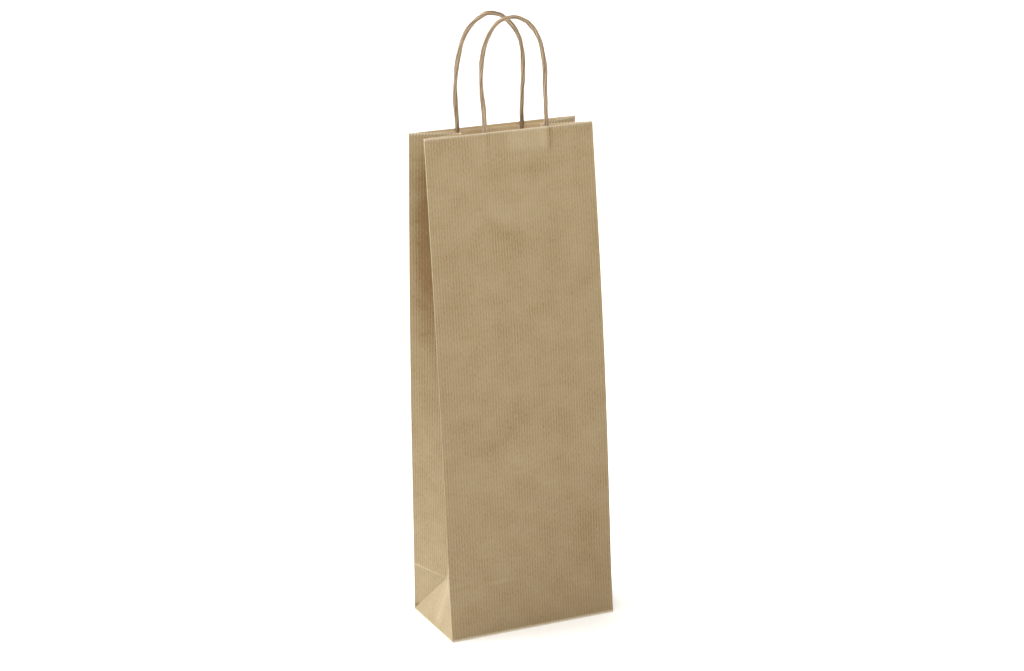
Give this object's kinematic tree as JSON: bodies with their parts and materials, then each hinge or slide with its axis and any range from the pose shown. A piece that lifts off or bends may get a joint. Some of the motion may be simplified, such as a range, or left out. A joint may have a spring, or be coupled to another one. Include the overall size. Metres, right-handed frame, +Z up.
{
  "type": "wine gift bag",
  "caption": "Tall kraft paper bottle bag with folded side gussets, a block bottom and two twisted paper cord handles on glued patches.",
  "frame": {"origin": "middle of the base, on the surface the bag stands on", "axes": "+Z up along the height, +Y from the front wall to the back wall, +X to the right seen from the front"},
  "size_m": [0.14, 0.08, 0.4825],
  "materials": {
    "kraft_outside": "ribbed brown kraft paper, matt",
    "kraft_folds": "plain brown kraft paper, matt",
    "patch_paper": "plain brown kraft paper, matt",
    "twisted_cord": "twisted kraft paper cord, matt"
  },
  "bodies": {
    "base": {"bottom_left_tuck": "kraft_folds", "bottom_right_tuck": "kraft_folds", "bottom_front_flap": "kraft_folds", "bottom_back_flap": "kraft_folds"},
    "front_wall": {"front_panel": "kraft_outside", "front_handle_ends": "twisted_cord", "front_outer_patch": "patch_paper", "front_inner_patch": "patch_paper"},
    "back_wall": {"back_panel": "kraft_outside", "seam_lap": "kraft_folds", "back_handle_ends": "twisted_cord", "back_outer_patch": "patch_paper", "back_inner_patch": "patch_paper"},
    "left_gusset_front": {"left_gusset_front": "kraft_outside"},
    "left_gusset_back": {"left_gusset_back": "kraft_outside"},
    "right_gusset_front": {"right_gusset_front": "kraft_outside"},
    "right_gusset_back": {"right_gusset_back": "kraft_outside"},
    "left_foot": {"left_foot_triangle": "kraft_outside"},
    "right_foot": {"right_foot_triangle": "kraft_outside"},
    "front_handle": {"front_handle": "twisted_cord"},
    "back_handle": {"back_handle": "twisted_cord"}
  },
  "joints": [
    {"name": "mouth_front_wall", "type": "hinge", "parent": "base", "child": "front_wall", "pos_m": [0, -0.04, 0], "axis": [1, 0, 0], "range_deg": [-0.44, 2.1]},
    {"name": "mouth_back_wall", "type": "hinge", "parent": "base", "child": "back_wall", "pos_m": [0, 0.04, 0], "axis": [-1, 0, 0], "range_deg": [-0.46, 2.12]},
    {"name": "left_gusset_front_fold", "type": "hinge", "parent": "front_wall", "child": "left_gusset_front", "pos_m": [-0.06985, -0.03955, 0], "axis": [0, 0.062, 0.9981], "range_deg": [-5.71, 26.4]},
    {"name": "right_gusset_front_fold", "type": "hinge", "parent": "front_wall", "child": "right_gusset_front", "pos_m": [0.06985, -0.03955, 0], "axis": [0, -0.062, -0.9981], "range_deg": [-5.71, 26.4]},
    {"name": "left_gusset_back_fold", "type": "hinge", "parent": "back_wall", "child": "left_gusset_back", "pos_m": [-0.06985, 0.03955, 0], "axis": [0, 0.062, -0.9981], "range_deg": [-5.71, 26.4]},
    {"name": "right_gusset_back_fold", "type": "hinge", "parent": "back_wall", "child": "right_gusset_back", "pos_m": [0.06985, 0.03955, 0], "axis": [0, -0.062, 0.9981], "range_deg": [-5.71, 26.4]},
    {"name": "left_foot_tilt", "type": "hinge", "parent": "base", "child": "left_foot", "pos_m": [-0.07, 0, 0], "axis": [0, -1, 0], "range_deg": [-1.52, 6.94]},
    {"name": "right_foot_tilt", "type": "hinge", "parent": "base", "child": "right_foot", "pos_m": [0.07, 0, 0], "axis": [0, 1, 0], "range_deg": [-1.52, 6.94]},
    {"name": "front_handle_bend", "type": "hinge", "parent": "front_wall", "child": "front_handle", "pos_m": [0, -0.01342, 0.39621], "axis": [1, 0, 0], "range_deg": [-1.5, 90], "stiffness_Nm_per_rad": 0.02},
    {"name": "back_handle_bend", "type": "hinge", "parent": "back_wall", "child": "back_handle", "pos_m": [0, 0.01342, 0.39621], "axis": [-1, 0, 0], "range_deg": [-1.5, 90], "stiffness_Nm_per_rad": 0.02}
  ],
  "couplings": [
    {"joint": "mouth_back_wall", "follows": "mouth_front_wall", "ratio": 1},
    {"joint": "left_gusset_front_fold", "follows": "mouth_front_wall", "ratio": 12.4},
    {"joint": "right_gusset_front_fold", "follows": "mouth_front_wall", "ratio": 12.4},
    {"joint": "left_gusset_back_fold", "follows": "mouth_front_wall", "ratio": 12.4},
    {"joint": "right_gusset_back_fold", "follows": "mouth_front_wall", "ratio": 12.4},
    {"joint": "left_foot_tilt", "follows": "mouth_front_wall", "ratio": 3.25},
    {"joint": "right_foot_tilt", "follows": "mouth_front_wall", "ratio": 3.25}
  ]
}
